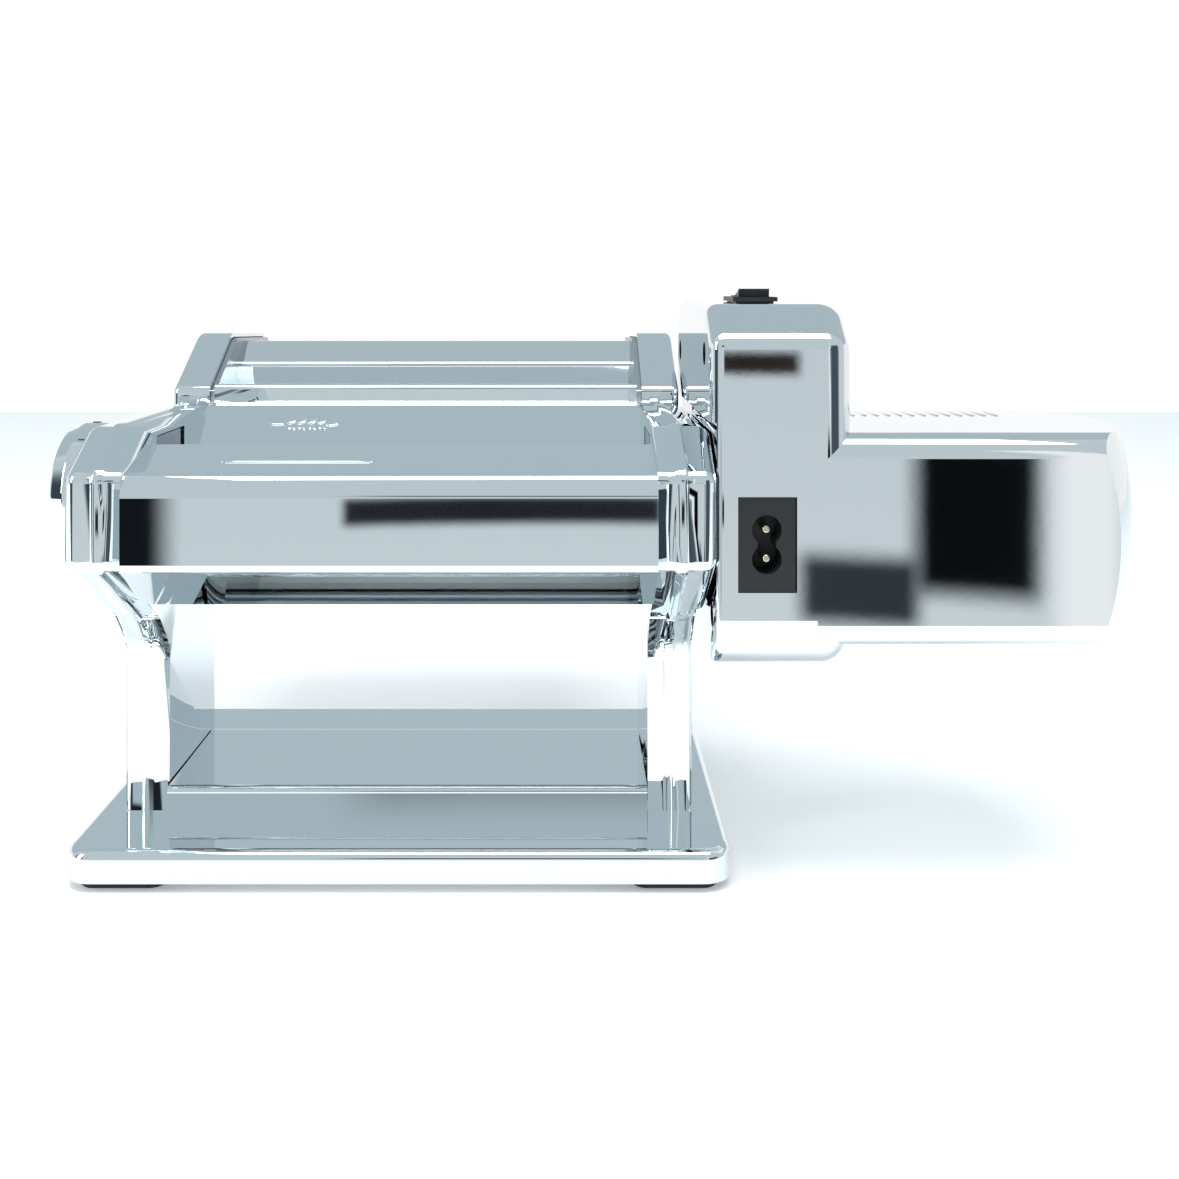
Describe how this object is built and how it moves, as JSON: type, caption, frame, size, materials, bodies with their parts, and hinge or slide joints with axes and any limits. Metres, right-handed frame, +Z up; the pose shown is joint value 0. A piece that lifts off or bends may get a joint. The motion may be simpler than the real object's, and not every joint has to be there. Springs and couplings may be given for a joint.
{
  "type": "pasta roller machine",
  "caption": "Chrome tabletop dough sheeter with two smooth rollers, a gap regulator knob, a lift-off strip cutter behind and a pull-off motor unit on one side.",
  "frame": {"origin": "centre of the base's footprint on the table", "axes": "+X towards the motor unit, +Y towards the cutter at the back, +Z up"},
  "size_m": [0.3408, 0.2001, 0.1828],
  "materials": {
    "chrome_plate": "polished chrome plated steel",
    "plated_plastic": "chrome plated moulded ABS",
    "black_plastic": "matt black nylon",
    "rubber": "matt black rubber",
    "contact_pins": "nickel plated brass",
    "bronze": "sintered bronze",
    "white_plastic": "white acetal",
    "board": "glass-epoxy board",
    "steel": "turned steel"
  },
  "bodies": {
    "machine": {"base_tray": "chrome_plate", "rubber_feet": "rubber", "deck": "chrome_plate", "left_side_frame": "chrome_plate", "right_side_frame": "chrome_plate", "left_end_cover": "chrome_plate", "right_end_cover": "chrome_plate", "front_cover": "chrome_plate", "hopper_plate": "chrome_plate", "rear_cover": "chrome_plate", "tie_rods": "steel", "tie_screws": "steel", "bushings": "bronze", "rear_scraper": "white_plastic", "cutter_rails": "steel"},
    "drive_roller": {"rear_roller": "chrome_plate", "rear_roller_gear": "steel"},
    "carriage": {"left_bearing_block": "steel", "right_bearing_block": "steel", "right_yoke_plate": "steel", "front_scraper": "white_plastic"},
    "adjustable_roller": {"front_roller": "chrome_plate", "front_roller_gear": "steel"},
    "regulator": {"regulator_shaft": "steel", "eccentric_discs": "steel"},
    "knob": {"regulator_knob": "chrome_plate"},
    "cutter": {"cutter_center_bar": "chrome_plate", "cutter_combs": "white_plastic", "cutter_front_cover": "chrome_plate", "cutter_guides": "white_plastic", "cutter_left_cap": "chrome_plate", "cutter_rear_cover": "chrome_plate", "cutter_right_cap": "chrome_plate", "cutter_rods": "steel", "cutter_side_plates": "steel"},
    "wide_front_cutter": {"wide_cutting_roller_front": "steel", "wide_cutter_gear_front": "steel"},
    "wide_rear_cutter": {"wide_cutting_roller_rear": "steel", "wide_cutter_gear_rear": "steel"},
    "narrow_front_cutter": {"narrow_cutting_roller_front": "steel", "narrow_cutter_gear_front": "steel"},
    "narrow_rear_cutter": {"narrow_cutting_roller_rear": "steel", "narrow_cutter_gear_rear": "steel"},
    "motor_unit": {"gearbox_cover": "plated_plastic", "motor_housing": "plated_plastic", "housing_screws": "steel", "mains_inlet": "black_plastic", "inlet_pins": "contact_pins", "switch_bezel": "black_plastic", "motor_can": "steel", "motor_mounts": "steel", "idler_pin": "steel", "gear_plate": "steel", "circuit_board": "board"},
    "motor_rotor": {"rotor": "steel", "motor_pinion": "steel"},
    "idler": {"idler_gear": "white_plastic"},
    "output": {"output_gear": "white_plastic", "drive_shaft": "steel"},
    "rocker": {"rocker_key": "black_plastic"}
  },
  "joints": [
    {"name": "drive_roller_spin", "type": "hinge", "parent": "machine", "child": "drive_roller", "pos_m": [0, -0.0026, 0.1169], "axis": [1, 0, 0], "continuous": true},
    {"name": "regulator_turn", "type": "hinge", "parent": "machine", "child": "regulator", "pos_m": [0, -0.0333, 0.1169], "axis": [-1, 0, 0], "range_deg": [0, 108]},
    {"name": "roller_gap_slide", "type": "slide", "parent": "machine", "child": "carriage", "axis": [0, 1, 0], "range_m": [0, 0.0042]},
    {"name": "adjustable_roller_spin", "type": "hinge", "parent": "carriage", "child": "adjustable_roller", "pos_m": [0, -0.0354, 0.1169], "axis": [1, 0, 0], "continuous": true},
    {"name": "knob_pull", "type": "slide", "parent": "regulator", "child": "knob", "axis": [-1, 0, 0], "range_m": [0, 0.004], "stiffness_N_per_m": 600, "springref_m": -0.004},
    {"name": "cutter_lift", "type": "slide", "parent": "machine", "child": "cutter", "axis": [0, 0, 1], "range_m": [0, 0.06]},
    {"name": "motor_pull", "type": "slide", "parent": "machine", "child": "motor_unit", "axis": [1, 0, 0], "range_m": [0, 0.04]},
    {"name": "output_spin", "type": "hinge", "parent": "motor_unit", "child": "output", "pos_m": [0.11, -0.0026, 0.1169], "axis": [1, 0, 0], "continuous": true},
    {"name": "idler_spin", "type": "hinge", "parent": "motor_unit", "child": "idler", "pos_m": [0.115, -0.02906, 0.13187], "axis": [1, 0, 0], "continuous": true},
    {"name": "rotor_spin", "type": "hinge", "parent": "motor_unit", "child": "motor_rotor", "pos_m": [0.16, -0.039, 0.1085], "axis": [1, 0, 0], "continuous": true},
    {"name": "rocker_press", "type": "hinge", "parent": "motor_unit", "child": "rocker", "pos_m": [0.1106, -0.041, 0.1795], "axis": [1, 0, 0], "range_deg": [0, 12]},
    {"name": "wide_rear_cutter_spin", "type": "hinge", "parent": "cutter", "child": "wide_rear_cutter", "pos_m": [0, 0.0562, 0.126], "axis": [1, 0, 0], "continuous": true},
    {"name": "wide_front_cutter_spin", "type": "hinge", "parent": "cutter", "child": "wide_front_cutter", "pos_m": [0, 0.0368, 0.126], "axis": [1, 0, 0], "continuous": true},
    {"name": "narrow_rear_cutter_spin", "type": "hinge", "parent": "cutter", "child": "narrow_rear_cutter", "pos_m": [0, 0.0987, 0.126], "axis": [1, 0, 0], "continuous": true},
    {"name": "narrow_front_cutter_spin", "type": "hinge", "parent": "cutter", "child": "narrow_front_cutter", "pos_m": [0, 0.0793, 0.126], "axis": [1, 0, 0], "continuous": true}
  ],
  "couplings": [
    {"joint": "regulator_turn", "follows": "roller_gap_slide", "rad_per_m": 448.79},
    {"joint": "adjustable_roller_spin", "follows": "drive_roller_spin", "ratio": -1},
    {"joint": "output_spin", "follows": "drive_roller_spin", "ratio": 1},
    {"joint": "idler_spin", "follows": "drive_roller_spin", "ratio": -3},
    {"joint": "rotor_spin", "follows": "drive_roller_spin", "ratio": 12},
    {"joint": "wide_front_cutter_spin", "follows": "wide_rear_cutter_spin", "ratio": -1},
    {"joint": "narrow_front_cutter_spin", "follows": "narrow_rear_cutter_spin", "ratio": -1}
  ]
}
